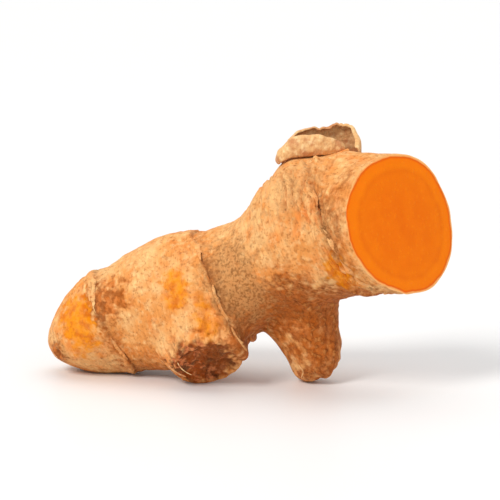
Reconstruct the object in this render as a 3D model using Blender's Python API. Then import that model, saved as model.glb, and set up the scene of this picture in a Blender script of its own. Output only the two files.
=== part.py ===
"""A piece of fresh turmeric root (a rhizome), cut across at its thick end and lying on a surface.

Metres, +Z up. +X runs along the root from its rounded tail to the cut end. The origin is on the surface
that the root lies on, below the middle of its bounding box. The root grew as one piece, so it is one solid.

Stations are distances along the root's axis from the tip of its tail, in mm. Angles go round the axis, in
degrees: 0 is the back, 90 the top, 180 the front and 270 the underside.
"""

import math
from dataclasses import dataclass

import bmesh
import bpy
import numpy as np

MM = 0.001

# The root's axis, from the tip of the tail to the middle of the cut face: x, y, z and the radius, in mm.
AXIS_POINTS = (
    (-1.4, 0.0, 3.2, 7.2),
    (4.8, 1.0, 5.7, 8.6),
    (12.7, 2.3, 9.2, 10.1),
    (21.6, 3.8, 12.4, 12.3),
    (27.8, 4.7, 14.4, 12.1),
    (33.6, 5.3, 16.8, 10.9),
    (41.6, 5.9, 20.6, 10.9),
    (47.9, 5.9, 23.8, 11.7),
    (53.9, 5.4, 27.0, 12.8),
    (61.9, 4.0, 30.1, 12.8),
    (70.9, 1.2, 31.2, 12.9),
)
# Samples of the axis between two of its points, and how far apart, in mm, its direction is measured.
AXIS_SAMPLES = 24
TANGENT_REACH = 2.0

# Reach of the tail's rounding, and of the slant of the skin before the cut, in mm.
TAIL_ROUNDING = 10.0
CUT_NORMAL = (0.843, -0.512, 0.165)
CUT_DOME = 0.35
CUT_SLANT_REACH = 22.0

# How far the root is let into the surface that it lies on, so that it rests on flat spots, in mm.
FLOOR_SINK = 0.5

# Where the root is thinner than this radius, in mm, its relief is lower in proportion.
FULL_RELIEF_RADIUS = 8.0

# A node ring's lip, as a share of its height and as a width in mm. The ring's waves: turns round the
# root, radians that they shift for each mm of its station, and height in mm.
LIP_SHARE = 0.35
LIP_WIDTH = 0.9
RING_WAVES = ((3, 1.0, 0.35), (7, 2.0, 0.18))

# The waves of a side shoot's edge: turns round it, radians that they shift for each mm of its station,
# and their share of its wobble.
SHOOT_WAVES = ((3, 1.0, 1.0), (5, 2.0, 0.6))

# Share of a side shoot's height above which its rows are level, not curved like the skin below them.
LEVEL_HEIGHT = 0.8

# Mesh: points in each row, rows of the cut face, and the distances of the rows in mm.
SIDES = 60
FACE_RINGS = 6
STATION_STEP = 1.75
FINE_STEP = 0.85
FINE_REACH = 2.4
TIP_STATIONS = (0.12, 0.45, 1.0, 1.8, 2.9)
SHARP_ANGLE = 50.0


@dataclass(frozen=True)
class NodeRing:
    """A ring that a scale leaf left round the root: a low swelling that ends in a step.

    facing is the angle where it is highest and lies nearest to the cut end. lean is how far it runs
    slanted, in mm, and lopsided the share that facing adds to its height. swell and step are the lengths
    of its rise and of its fall, and height its height, in mm.
    """

    station: float
    facing: float
    lean: float
    lopsided: float
    height: float
    swell: float
    step: float


@dataclass(frozen=True)
class Bulge:
    """A soft bulge of the skin: its length along the root and height in mm, and its width in degrees."""

    station: float
    angle: float
    length: float
    width: float
    height: float


@dataclass(frozen=True)
class Bud:
    """A side shoot that stands on a round foot, turned from a profile and then leant and tilted.

    foot is the foot's radius and rise the shoot's height, in mm. The profile runs from the foot's rim to
    the shoot's middle as pairs of radius and height, each as a share of those. pitch and yaw lean the
    shoot along the root and round it, in degrees. tilt makes it higher towards the bearing tilt_bearing,
    in degrees, where 0 points along the root to the cut end and 90 round it, downwards. wobble makes its
    edge uneven.
    """

    station: float
    angle: float
    foot: float
    rise: float
    profile: tuple
    pitch: float = 0.0
    yaw: float = 0.0
    tilt: float = 0.0
    tilt_bearing: float = 0.0
    wobble: float = 0.0


NODE_RINGS = (
    NodeRing(station=14.8, facing=240.0, lean=0.5, lopsided=0.0, height=0.6, swell=5.0, step=1.1),
    NodeRing(station=37.6, facing=215.0, lean=2.2, lopsided=0.7, height=0.7, swell=8.0, step=1.4),
    NodeRing(station=53.0, facing=200.0, lean=1.5, lopsided=0.0, height=0.2, swell=5.0, step=1.4),
    NodeRing(station=68.4, facing=240.0, lean=0.5, lopsided=0.5, height=0.5, swell=4.5, step=1.3),
)

SHOULDER = Bulge(station=60.8, angle=93.0, length=9.5, width=46.0, height=4.1)
BACK_BULGE = Bulge(station=24.0, angle=20.0, length=7.0, width=30.0, height=2.2)
BULGES = (SHOULDER, BACK_BULGE)

FINGER_END = (
    (1.0, 0.0),
    (0.91, 0.06),
    (0.83, 0.15),
    (0.76, 0.28),
    (0.70, 0.43),
    (0.66, 0.58),
    (0.62, 0.73),
    (0.55, 0.86),
    (0.43, 0.95),
    (0.28, 0.99),
    (0.14, 1.0),
    (0.0, 1.0),
)
SCARRED_END = (
    (1.0, 0.0),
    (0.93, 0.07),
    (0.86, 0.22),
    (0.80, 0.46),
    (0.75, 0.74),
    (0.70, 0.93),
    (0.63, 1.0),
    (0.55, 0.94),
    (0.38, 0.80),
    (0.19, 0.74),
    (0.0, 0.72),
)
COLLAR = (
    (1.0, 0.0),
    (0.93, 0.08),
    (0.91, 0.30),
    (0.95, 0.55),
    (0.98, 0.78),
    (0.94, 0.96),
    (0.85, 1.0),
    (0.76, 0.88),
    (0.72, 0.64),
    (0.62, 0.46),
    (0.44, 0.42),
    (0.24, 0.48),
    (0.0, 0.52),
)

NUB = Bud(
    station=64.0,
    angle=86.0,
    foot=6.2,
    rise=2.7,
    profile=COLLAR,
    pitch=-6.0,
    yaw=-6.0,
    tilt=0.74,
    tilt_bearing=240.0,
    wobble=0.07,
)
FRONT_KNOB = Bud(
    station=32.0, angle=229.0, foot=9.8, rise=3.4, profile=SCARRED_END, pitch=14.0, yaw=4.0, wobble=0.06
)
UNDER_FINGER = Bud(
    station=49.2, angle=280.0, foot=8.2, rise=12.9, profile=FINGER_END, pitch=-8.0, yaw=-8.0, wobble=0.02
)
BUDS = (NUB, FRONT_KNOB, UNDER_FINGER)

# Waves of the plain skin: turns round the root, mm per wave along it, phase in degrees, height in mm.
WAVES = (
    (2, 61.0, 20.0, 0.45),
    (3, 37.0, 150.0, 0.28),
    (1, 23.0, 75.0, 0.20),
    (4, 47.0, 260.0, 0.16),
    (5, 19.0, 310.0, 0.09),
)

SKIN_COLOUR = (0.62, 0.33, 0.12, 1.0)
SKIN_ROUGHNESS = 0.62


def smooth_path(points, samples):
    """Catmull-Rom curve through the points, which hold any number of columns."""
    points = np.array(points, float)
    padded = np.vstack([2 * points[0] - points[1], points, 2 * points[-1] - points[-2]])
    rows = []
    for i in range(len(points) - 1):
        a, b, c, d = padded[i : i + 4]
        for t in np.linspace(0.0, 1.0, samples, endpoint=False):
            square, cube = (2 * a - 5 * b + 4 * c - d) * t**2, (3 * b - a - 3 * c + d) * t**3
            rows.append(0.5 * (2 * b + (c - a) * t + square + cube))
    rows.append(padded[-2])
    return np.array(rows)


def unit(vectors):
    """The vectors at length one."""
    return vectors / np.linalg.norm(vectors, axis=-1, keepdims=True)


class RootAxis:
    """The root's axis, with its directions and its radius."""

    def __init__(self, points):
        path = smooth_path(points, samples=AXIS_SAMPLES)
        self.place = path[:, :3]
        self.thickness = path[:, 3]
        steps = np.linalg.norm(np.diff(self.place, axis=0), axis=1)
        self.station = np.concatenate([[0.0], np.cumsum(steps)])
        self.length = self.station[-1]

    def point(self, station):
        """Point of the axis at each station."""
        return np.stack([np.interp(station, self.station, self.place[:, k]) for k in range(3)], -1)

    def directions(self, station):
        """Unit vectors along the axis, to the back of it and up from it, at each station."""
        ahead = self.point(np.minimum(station + TANGENT_REACH, self.length))
        along = unit(ahead - self.point(np.maximum(station - TANGENT_REACH, 0.0)))
        side = unit(np.cross((0.0, 0.0, 1.0), along))
        return along, side, np.cross(along, side)

    def outward(self, station, angle):
        """Unit vector away from the axis at each station and angle."""
        _, side, up = self.directions(station)
        return np.cos(angle)[..., None] * side + np.sin(angle)[..., None] * up

    def radius(self, station):
        """Radius at each station, rounded off over the tail's tip."""
        rounding = 1.0 - np.minimum(station / TAIL_ROUNDING, 1.0)
        return np.interp(station, self.station, self.thickness) * np.sqrt(1.0 - rounding**2)


class Skin:
    """The root's skin without its side shoots, as a surface over station and angle in radians."""

    def __init__(self, axis):
        self.axis = axis
        self.cut_centre = axis.place[-1]
        self.cut_normal = unit(np.array(CUT_NORMAL))

    def ring_relief(self, ring, station, angle):
        """Height that a node ring adds: a slow swell up to the ring, a lip and a quick step down."""
        towards = np.cos(angle - math.radians(ring.facing))
        place = ring.station + ring.lean * towards
        for turns, drift, height in RING_WAVES:
            place = place + height * np.sin(turns * angle + drift * ring.station)
        gap = station - place
        before = np.exp(-((np.minimum(gap, 0.0) / ring.swell) ** 2))
        after = np.exp(-((np.maximum(gap, 0.0) / ring.step) ** 2))
        lip = LIP_SHARE * np.exp(-((gap / LIP_WIDTH) ** 2))
        return ring.height * (1.0 + ring.lopsided * towards) * (before * after + lip)

    def bulge_relief(self, bulge, station, angle):
        """Height that a soft bulge adds."""
        turn = np.angle(np.exp(1j * (angle - math.radians(bulge.angle))))
        spread = (turn / math.radians(bulge.width)) ** 2 + ((station - bulge.station) / bulge.length) ** 2
        return bulge.height * np.exp(-spread)

    def round_points(self, station, angle):
        """Points of the skin as if the root were cut square to its axis."""
        radius = self.axis.radius(station)
        fade = np.minimum(radius / FULL_RELIEF_RADIUS, 1.0)
        for turns, wave, phase, height in WAVES:
            turned = turns * angle + station * math.tau / wave + math.radians(phase)
            radius = radius + fade * height * np.cos(turned)
        for ring in NODE_RINGS:
            radius = radius + fade * self.ring_relief(ring, station, angle)
        for bulge in BULGES:
            radius = radius + fade * self.bulge_relief(bulge, station, angle)
        return self.axis.point(station) + radius[..., None] * self.axis.outward(station, angle)

    def points(self, station, angle):
        """Points of the skin, slid along the axis near its end so that the end lies in the plane of the cut."""
        end = np.full_like(station, self.axis.length)
        along = self.axis.directions(np.array(self.axis.length))[0]
        shift = (self.cut_centre - self.round_points(end, angle)) @ self.cut_normal / (along @ self.cut_normal)
        share = np.maximum(1.0 - (self.axis.length - station) / CUT_SLANT_REACH, 0.0)
        return self.round_points(station, angle) + (share**2 * shift)[..., None] * along


class Shoot:
    """A bud in place on the skin: maps a bearing and a point of its profile to a point in space."""

    def __init__(self, skin, bud):
        self.skin = skin
        self.bud = bud
        self.angle = math.radians(bud.angle)
        spot = np.array(bud.station), np.array(self.angle)
        self.root = skin.points(*spot)
        self.along = skin.axis.directions(spot[0])[0]
        self.outward = skin.axis.outward(*spot)
        self.around = np.cross(self.along, self.outward)
        self.radius = np.linalg.norm(self.root - skin.axis.point(spot[0]))
        lean = math.tan(math.radians(bud.pitch)) * self.along + math.tan(math.radians(bud.yaw)) * self.around
        self.direction = unit(self.outward + lean)

    def offset(self, station, angle):
        """Distances along and round the skin from the middle of the foot, the second one downwards."""
        turn = np.angle(np.exp(1j * (self.angle - angle)))
        return station - self.bud.station, turn * self.radius

    def bearing(self, station, angle):
        """Bearing of each station and angle, seen from the middle of the foot."""
        ahead, down = self.offset(station, angle)
        return np.arctan2(down, ahead)

    def covers(self, station, angle):
        """Whether each station and angle lies within the foot."""
        return np.hypot(*self.offset(station, angle)) < self.bud.foot

    def ring(self, bearing, radius, height):
        """Points of the shoot at each bearing, for one pair of radius and height of the profile."""
        bud = self.bud
        reach = radius * bud.foot
        station = bud.station + reach * np.cos(bearing)
        angle = self.angle - reach * np.sin(bearing) / self.radius
        base = self.skin.points(station, angle)
        sag = (base - self.root) @ self.outward
        levelled = min(height / LEVEL_HEIGHT, 1.0)
        base = base - (levelled * sag)[..., None] * self.outward
        waves = [share * np.sin(turns * bearing + drift * bud.station) for turns, drift, share in SHOOT_WAVES]
        uneven = sum(waves)
        tilt = 1.0 + bud.tilt * np.cos(bearing - math.radians(bud.tilt_bearing)) + bud.wobble * uneven
        return base + (height * bud.rise * tilt)[..., None] * self.direction

    def tip(self):
        """The shoot's middle point."""
        return self.root + self.bud.profile[-1][1] * self.bud.rise * self.direction


class RootMesh:
    """The root's closed mesh: rows of skin, the tail's tip, the cut face and the side shoots."""

    def __init__(self, skin):
        self.skin = skin
        self.mesh = bmesh.new()
        self.spots = {}
        self.add_skin()
        for bud in BUDS:
            self.graft(Shoot(skin, bud))
        bmesh.ops.recalc_face_normals(self.mesh, faces=self.mesh.faces)

    def stations(self):
        """Stations of the rows of points, closer together at the node rings and the nub."""
        places = list(TIP_STATIONS)
        while places[-1] < self.skin.axis.length:
            here = places[-1]
            near = min(abs(here - ring.station) for ring in NODE_RINGS) < FINE_REACH
            places.append(here + (FINE_STEP if near else STATION_STEP))
        places = np.array(places)
        return places * self.skin.axis.length / places[-1]

    def add_skin(self):
        """The skin's rows, the tip of the tail and the cut face."""
        angles = np.linspace(0.0, math.tau, SIDES, endpoint=False)
        station, angle = np.meshgrid(self.stations(), angles, indexing="ij")
        rows = self.skin.points(station, angle)
        centre = self.skin.cut_centre
        dome = self.skin.cut_normal * CUT_DOME
        shares = [1.0 - k / FACE_RINGS for k in range(1, FACE_RINGS)]
        face = [centre + (rows[-1] - centre) * share + dome * (1.0 - share**2) for share in shares]

        loops = [[self.mesh.verts.new(p * MM) for p in row] for row in (*rows, *face)]
        for i, row in enumerate(loops[: len(rows)]):
            for k, vert in enumerate(row):
                self.spots[vert] = station[i, k], angle[i, k]
        for loop, following in zip(loops, loops[1:]):
            self.bridge(loop, following)
        self.fan(loops[0], self.skin.axis.place[0])
        self.fan(loops[-1], centre + dome)

    def bridge(self, loop, following):
        """Four-sided faces between two closed loops of as many points."""
        for k in range(len(loop)):
            j = (k + 1) % len(loop)
            self.mesh.faces.new((loop[k], loop[j], following[j], following[k]))

    def fan(self, loop, middle):
        """Triangles from a closed loop to its middle."""
        hub = self.mesh.verts.new(middle * MM)
        for k in range(len(loop)):
            self.mesh.faces.new((hub, loop[k], loop[(k + 1) % len(loop)]))

    def graft(self, shoot):
        """Puts a side shoot in place of the skin under its foot."""
        inside = {vert for vert, spot in self.spots.items() if vert.is_valid and shoot.covers(*spot)}
        covered = [face for face in self.mesh.faces if any(vert in inside for vert in face.verts)]
        bmesh.ops.delete(self.mesh, geom=covered, context="FACES")
        self.spots = {vert: spot for vert, spot in self.spots.items() if vert.is_valid}
        rim = self.open_loop()
        bearing = np.array([shoot.bearing(*self.spots[vert]) for vert in rim])
        loops = [rim]
        for radius, height in shoot.bud.profile[:-1]:
            loops.append([self.mesh.verts.new(p * MM) for p in shoot.ring(bearing, radius, height)])
        for loop, following in zip(loops, loops[1:]):
            self.bridge(loop, following)
        self.fan(loops[-1], shoot.tip())

    def open_loop(self):
        """Points round the only hole of the mesh, in order."""
        edges = {edge for edge in self.mesh.edges if edge.is_boundary}
        loop = [next(iter(edges)).verts[0]]
        while edges:
            edge = next(e for e in loop[-1].link_edges if e in edges)
            edges.remove(edge)
            loop.append(edge.other_vert(loop[-1]))
        return loop[:-1]


def settle_on_floor(mesh):
    """Lowers the root a little into the surface, flattens what it rests on, and centres it over the origin."""
    drop = min(v.co.z for v in mesh.verts) + FLOOR_SINK * MM
    for v in mesh.verts:
        v.co.z = max(v.co.z - drop, 0.0)
    for axis in (0, 1):
        middle = (min(v.co[axis] for v in mesh.verts) + max(v.co[axis] for v in mesh.verts)) / 2
        for v in mesh.verts:
            v.co[axis] -= middle


def skin_material():
    """Pale tan skin."""
    material = bpy.data.materials.new("turmeric_skin")
    material.use_nodes = True
    shader = material.node_tree.nodes["Principled BSDF"]
    shader.inputs["Base Color"].default_value = SKIN_COLOUR
    shader.inputs["Roughness"].default_value = SKIN_ROUGHNESS
    return material


def main():
    """Builds the root."""
    for obj in list(bpy.data.objects):
        bpy.data.objects.remove(obj)
    solid = RootMesh(Skin(RootAxis(AXIS_POINTS))).mesh
    settle_on_floor(solid)
    mesh = bpy.data.meshes.new("turmeric_root")
    solid.to_mesh(mesh)
    solid.free()
    mesh.materials.append(skin_material())
    mesh.shade_smooth()
    mesh.set_sharp_from_angle(angle=math.radians(SHARP_ANGLE))
    root = bpy.data.objects.new("turmeric_root", mesh)
    bpy.context.scene.collection.objects.link(root)


if __name__ == "__main__":
    main()
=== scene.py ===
"""Looks of a piece of fresh turmeric root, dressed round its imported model.

Metres, +Z up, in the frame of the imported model. A station is a distance along the root's axis from the tip
of its tail, in mm. An angle goes round the axis, in degrees: 0 is the back, 90 the top, 180 the front and
270 the underside.
"""

import logging
import math
from dataclasses import dataclass, field, replace
from enum import Enum
from typing import Callable, Sequence

import bpy
import numpy as np
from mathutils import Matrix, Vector, noise
from mathutils.bvhtree import BVHTree


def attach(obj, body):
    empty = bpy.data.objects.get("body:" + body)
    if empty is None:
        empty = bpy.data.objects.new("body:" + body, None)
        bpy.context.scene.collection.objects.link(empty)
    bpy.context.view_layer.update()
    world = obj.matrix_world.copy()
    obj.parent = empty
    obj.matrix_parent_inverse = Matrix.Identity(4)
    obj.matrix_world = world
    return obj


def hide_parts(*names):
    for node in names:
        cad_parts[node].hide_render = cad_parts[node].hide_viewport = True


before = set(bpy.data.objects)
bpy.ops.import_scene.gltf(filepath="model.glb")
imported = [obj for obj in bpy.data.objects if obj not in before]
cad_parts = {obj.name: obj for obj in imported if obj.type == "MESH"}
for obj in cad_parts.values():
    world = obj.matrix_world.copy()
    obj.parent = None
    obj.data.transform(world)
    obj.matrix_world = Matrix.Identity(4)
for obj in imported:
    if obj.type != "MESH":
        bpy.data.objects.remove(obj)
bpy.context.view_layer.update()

LOG = logging.getLogger("turmeric_root")
MM = 0.001
NODE = "turmeric_root"
BODY = "root"

Colour = tuple[float, float, float, float]
Triple = tuple[float, float, float]
Pair = tuple[float, float]
Socket = bpy.types.NodeSocket
WHITE: Colour = (1.0, 1.0, 1.0, 1.0)
UP: Triple = (0.0, 0.0, 1.0)


def screen_colour(red: int, green: int, blue: int) -> Colour:
    """Linear colour of a colour given as on a screen, by the usual screen curve.

    Args:
        red, green, blue: Values from 0 to 255.

    Returns:
        Red, green, blue and alpha from 0 to 1.
    """
    shares = (value / 255.0 for value in (red, green, blue))
    linear = (s / 12.92 if s <= 0.04045 else ((s + 0.055) / 1.055) ** 2.4 for s in shares)
    return (*linear, 1.0)


def ease(low: float, high: float, values: np.ndarray) -> np.ndarray:
    """Smooth step of each value from 0 at low to 1 at high."""
    share = np.clip((values - low) / (high - low), 0.0, 1.0)
    return share * share * (3.0 - 2.0 * share)


def hump(values: np.ndarray, width: float) -> np.ndarray:
    """Bell curve of each value, 1 at zero and about a third at the width."""
    return np.exp(-((values / width) ** 2))


def unit(vectors: np.ndarray) -> np.ndarray:
    """The vectors at length one."""
    return vectors / np.linalg.norm(vectors, axis=-1, keepdims=True)


def smooth_path(points: Sequence[Sequence[float]], samples: int) -> np.ndarray:
    """Catmull-Rom curve through points that hold any number of columns.

    Args:
        points: The points that the curve passes through.
        samples: Rows made for each stretch between two points.

    Returns:
        One row for each sample, and the last point.
    """
    rows = np.array(points, float)
    padded = np.vstack([2 * rows[0] - rows[1], rows, 2 * rows[-1] - rows[-2]])
    path = []
    for i in range(len(rows) - 1):
        a, b, c, d = padded[i : i + 4]
        for t in np.linspace(0.0, 1.0, samples, endpoint=False):
            square = (2 * a - 5 * b + 4 * c - d) * t**2
            cube = (3 * b - a - 3 * c + d) * t**3
            path.append(0.5 * (2 * b + (c - a) * t + square + cube))
    path.append(padded[-2])
    return np.array(path)


def read_along(rows: np.ndarray, share: np.ndarray) -> np.ndarray:
    """Reads a line at shares of the way along it.

    Args:
        rows: One value or one row for each point of the line.
        share: Shares from 0 at its first point to 1 at its last.

    Returns:
        One value or one row for each share.
    """
    knots = np.linspace(0.0, 1.0, len(rows))
    if rows.ndim == 1:
        return np.interp(share, knots, rows)
    return np.stack([np.interp(share, knots, column) for column in rows.T], -1)


def lumps(points: np.ndarray, size: float, seed: float = 0.0, octaves: int = 1) -> np.ndarray:
    """Smooth noise at each point.

    Args:
        points: Rows of x, y and z in mm.
        size: Width of one lump in mm.
        seed: Shift that makes one noise unlike another.
        octaves: Layers of finer noise.

    Returns:
        About -1 to 1 for each point.
    """
    shifted = points / size + seed
    if octaves == 1:
        return np.array([noise.noise(Vector(p)) for p in shifted])
    return np.array([noise.fractal(Vector(p), 1.0, 2.0, octaves) for p in shifted])


@dataclass(frozen=True)
class Swell:
    """A layer of soft relief.

    height and size are the height and the width of its lumps in mm, seed makes it unlike the others, and
    squeeze is how much it is drawn out along each coordinate: the smaller, the longer.
    """

    height: float
    size: float
    seed: float
    squeeze: Triple = (1.0, 1.0, 1.0)

    def at(self, points: np.ndarray) -> np.ndarray:
        """Height of the layer at each point, in mm."""
        return self.height * lumps(points * np.array(self.squeeze), self.size, seed=self.seed)


@dataclass
class RootAxis:
    """The curve that the root grew along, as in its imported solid.

    start is where the axis's own points are measured from, in the frame, in mm. points are x, y and z of the
    axis, in mm, from the tail's tip to the middle of the cut. Stations follow the slant of the cut over
    slant_reach, on a rim of end_radius. A direction is taken over step to either side, and a point may lie
    spare past the end, all in mm. coarse is how many points of the axis are tried first for the nearest one.
    """

    start: Triple = (-38.051, -4.568, 1.535)
    points: tuple[Triple, ...] = (
        (-1.4, 0.0, 3.2),
        (4.8, 1.0, 5.7),
        (12.7, 2.3, 9.2),
        (21.6, 3.8, 12.4),
        (27.8, 4.7, 14.4),
        (33.6, 5.3, 16.8),
        (41.6, 5.9, 20.6),
        (47.9, 5.9, 23.8),
        (53.9, 5.4, 27.0),
        (61.9, 4.0, 30.1),
        (70.9, 1.2, 31.2),
    )
    cut_direction: Triple = (0.843, -0.512, 0.165)
    slant_reach: float = 22.0
    end_radius: float = 12.9
    step: float = 2.0
    spare: float = 6.0
    coarse: int = 180
    place: np.ndarray = field(init=False)
    station: np.ndarray = field(init=False)
    length: float = field(init=False)
    cut_normal: np.ndarray = field(init=False)

    def __post_init__(self) -> None:
        """Works out the curve and its length."""
        self.place = smooth_path(self.points, samples=24) + np.array(self.start)
        steps = np.linalg.norm(np.diff(self.place, axis=0), axis=1)
        self.station = np.concatenate([[0.0], np.cumsum(steps)])
        self.length = float(self.station[-1])
        self.cut_normal = unit(np.array(self.cut_direction))

    def point(self, station: np.ndarray) -> np.ndarray:
        """Point of the axis at each station, in mm."""
        return np.stack([np.interp(station, self.station, column) for column in self.place.T], -1)

    def directions(self, station: np.ndarray) -> tuple[np.ndarray, np.ndarray, np.ndarray]:
        """Directions of the axis.

        Args:
            station: Stations in mm.

        Returns:
            Unit vectors along the axis, to the back of it and up from it, at each station.
        """
        ahead = self.point(np.minimum(station + self.step, self.length))
        along = unit(ahead - self.point(np.maximum(station - self.step, 0.0)))
        side = unit(np.cross(UP, along))
        return along, side, np.cross(along, side)

    def outward(self, station: np.ndarray, angle: np.ndarray) -> np.ndarray:
        """Unit vector away from the axis at each station and angle in radians."""
        _, side, up = self.directions(station)
        return np.cos(angle)[..., None] * side + np.sin(angle)[..., None] * up

    def locate(self, points: np.ndarray) -> tuple[np.ndarray, np.ndarray, np.ndarray]:
        """Where points lie round the axis.

        Args:
            points: Rows of x, y and z in mm.

        Returns:
            The station in mm, the angle in radians and the distance from the axis in mm of each point. Near
            the cut the station follows the slant of the cut.
        """
        coarse = np.linspace(0.0, self.length, self.coarse)
        knots = self.point(coarse)
        square = (points**2).sum(1)[:, None] - 2 * points @ knots.T + (knots**2).sum(1)[None, :]
        near = coarse[np.argmin(square, axis=1)]
        for _ in range(2):
            along = self.directions(np.clip(near, 0.0, self.length))[0]
            near = near + ((points - self.point(near)) * along).sum(1)
            near = np.minimum(near, self.length + self.spare)
        clipped = np.clip(near, 0.0, self.length)
        along, side, up = self.directions(clipped)
        spoke = points - self.point(clipped)
        spoke = spoke - (spoke * along).sum(1)[:, None] * along
        angle = np.arctan2((spoke * up).sum(1), (spoke * side).sum(1))
        end_along = self.directions(np.array(self.length))[0]
        rim = self.end_radius * self.outward(np.full_like(angle, self.length), angle)
        slide = -(rim @ self.cut_normal) / (end_along @ self.cut_normal)
        station = near
        for _ in range(4):
            share = np.clip(1.0 - (self.length - station) / self.slant_reach, 0.0, 1.0)
            station = near - share**2 * slide
        return station, np.mod(angle, math.tau), np.linalg.norm(spoke, axis=1)


class Mark(Enum):
    """Marks of the skin that its finish reads from the mesh, each the name of an attribute."""

    RUBBED = "rubbed"
    BRUISE = "bruise"
    GRIME = "grime"
    # Reddish-brown skin, and partly painted shade along the underside.
    RUSSET = "russet"
    SCAR = "scar"
    # Pale skin, and painted highlight where its patches lie on the top.
    CREAM = "cream"
    # Painted shade inside the nub's collar.
    HOLLOW = "hollow"
    # Painted shade in the creases, pits and folds and on the knob scar's lower right.
    CREASE = "crease"


@dataclass(frozen=True)
class Patch:
    """A patch of the skin with a frayed edge.

    along and around are its reach from the middle in mm, and fray how uneven its edge is. edge are the shares
    of its reach at which none and all of it shows.
    """

    station: float
    angle: float
    along: float
    around: float
    fray: float = 0.45
    strength: float = 1.0
    edge: Pair = (1.35, 0.35)

    def mask(self, spots: "Spots", rough: np.ndarray) -> np.ndarray:
        """How much of the patch shows.

        Args:
            spots: Where to look.
            rough: The noise that frays the patch's edge, at each spot.

        Returns:
            The strength of the patch at each spot.
        """
        along, around = spots.offset(self.station, math.radians(self.angle))
        reach = np.hypot(along / self.along, around / self.around)
        return self.strength * ease(*self.edge, reach + self.fray * rough)


@dataclass(frozen=True)
class LeafScar:
    """A ring that a scale leaf left round the root: a crease, with a lip of old skin on its tail side.

    facing is the angle where the ring lies nearest to the cut, and lean how far it runs slanted, in mm.
    crease and lip are a depth and a height in mm. folds is the height of the wrinkles beside it, and
    reach how far they go, in mm. fade gives how much of it shows at some angles. sway and jitter are how
    far it wanders in slow and in quick waves, in mm.
    """

    station: float
    facing: float
    lean: float
    crease: float
    lip: float
    folds: float
    reach: float
    fade: tuple[Pair, ...] = ((0.0, 1.0),)
    sway: float = 0.35
    jitter: float = 0.18

    def share(self, angle: np.ndarray) -> np.ndarray:
        """How much of the ring shows at each angle in radians."""
        turns, shares = zip(*self.fade)
        return np.interp(np.degrees(angle), turns, shares, period=360.0)

    def place(self, angle: np.ndarray) -> np.ndarray:
        """Finds the ring.

        Args:
            angle: Angles in radians.

        Returns:
            Its station at each angle, in mm.
        """
        slanted = self.station + self.lean * np.cos(angle - math.radians(self.facing))
        swayed = slanted + self.sway * np.sin(3 * angle + self.station)
        return swayed + self.jitter * np.sin(7 * angle + 2 * self.station)


@dataclass(frozen=True)
class RootScar:
    """The round scar of a root fibre: a raised rim round a small pit, sizes in mm."""

    station: float
    angle: float
    radius: float = 0.8
    rim: float = 0.22
    pit: float = 0.45


@dataclass
class Spots:
    """Where the points of a mesh lie on the root: place and normal as rows, the others one value each."""

    place: np.ndarray
    normal: np.ndarray
    station: np.ndarray
    angle: np.ndarray
    radius: np.ndarray

    @property
    def straight(self) -> np.ndarray:
        """The places as rows with the root unbent, its axis along the first coordinate."""
        return np.stack([self.station, self.radius * np.cos(self.angle), self.radius * np.sin(self.angle)], 1)

    def offset(self, station: float, angle: float) -> tuple[np.ndarray, np.ndarray]:
        """Distances in mm along and round the root from one station and angle in radians."""
        turn = np.angle(np.exp(1j * (self.angle - angle)))
        return self.station - station, turn * self.radius

    def nearest(self, station: np.ndarray, angle: np.ndarray) -> np.ndarray:
        """Finds the points that lie nearest to some places on the root.

        Args:
            station: Station of each place, in mm.
            angle: Angle of each place, in radians.

        Returns:
            The number of the point nearest to each place.
        """
        found = []
        for place, bearing in zip(station, angle):
            along, around = self.offset(place, bearing)
            found.append(int(np.argmin(along**2 + around**2)))
        return np.array(found)


def only_select(*pieces: bpy.types.Object) -> None:
    """Selects pieces and nothing else.

    Args:
        pieces: The pieces, of which the first becomes the active one.
    """
    bpy.ops.object.select_all(action="DESELECT")
    for piece in pieces:
        piece.select_set(True)
    bpy.context.view_layer.objects.active = pieces[0]


def new_primitive(operator: Callable[..., set[str]], name: str, **sizes: object) -> bpy.types.Object:
    """Adds a primitive, alone selected.

    Args:
        operator: The operator that adds it.
        name: Its name.
        sizes: What the operator is told.

    Returns:
        The piece.
    """
    bpy.ops.object.select_all(action="DESELECT")
    operator(**sizes)
    piece = bpy.context.active_object
    piece.name = piece.data.name = name
    return piece


def join_pieces(pieces: Sequence[bpy.types.Object], name: str) -> bpy.types.Object:
    """Joins pieces into one.

    Args:
        pieces: The pieces.
        name: Name of the joined piece.

    Returns:
        The joined piece.
    """
    only_select(*pieces)
    bpy.ops.object.join()
    joined = bpy.context.active_object
    joined.name = joined.data.name = name
    return joined


def apply_modifier(piece: bpy.types.Object, kind: str, **settings: object) -> None:
    """Adds a modifier to a piece and applies it.

    Args:
        piece: The piece.
        kind: The modifier's type.
        settings: The modifier's settings.
    """
    only_select(piece)
    modifier = piece.modifiers.new(kind.title(), kind)
    for name, value in settings.items():
        setattr(modifier, name, value)
    bpy.ops.object.modifier_apply(modifier=modifier.name)


def shade_smooth(piece: bpy.types.Object) -> None:
    """Shades a piece smooth all over."""
    only_select(piece)
    bpy.ops.object.shade_smooth()


def read_rows(items: bpy.types.bpy_prop_collection, name: str) -> np.ndarray:
    """Reads a vector of each point of a mesh.

    Args:
        items: The points, or their normals.
        name: Name of the vector in them.

    Returns:
        The vectors as rows.
    """
    flat = np.zeros(len(items) * 3, np.float32)
    items.foreach_get(name, flat)
    return flat.reshape(-1, 3).astype(float)


def read_points(mesh: bpy.types.Mesh) -> np.ndarray:
    """Points of a mesh as rows, in mm."""
    return read_rows(mesh.vertices, "co") / MM


def read_normals(mesh: bpy.types.Mesh) -> np.ndarray:
    """Normals of a mesh at its points, as rows."""
    return read_rows(mesh.vertex_normals, "vector")


def write_points(mesh: bpy.types.Mesh, points: np.ndarray) -> None:
    """Moves the points of a mesh to these rows, in mm."""
    mesh.vertices.foreach_set("co", (points * MM).astype(np.float32).ravel())
    mesh.update()


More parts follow.
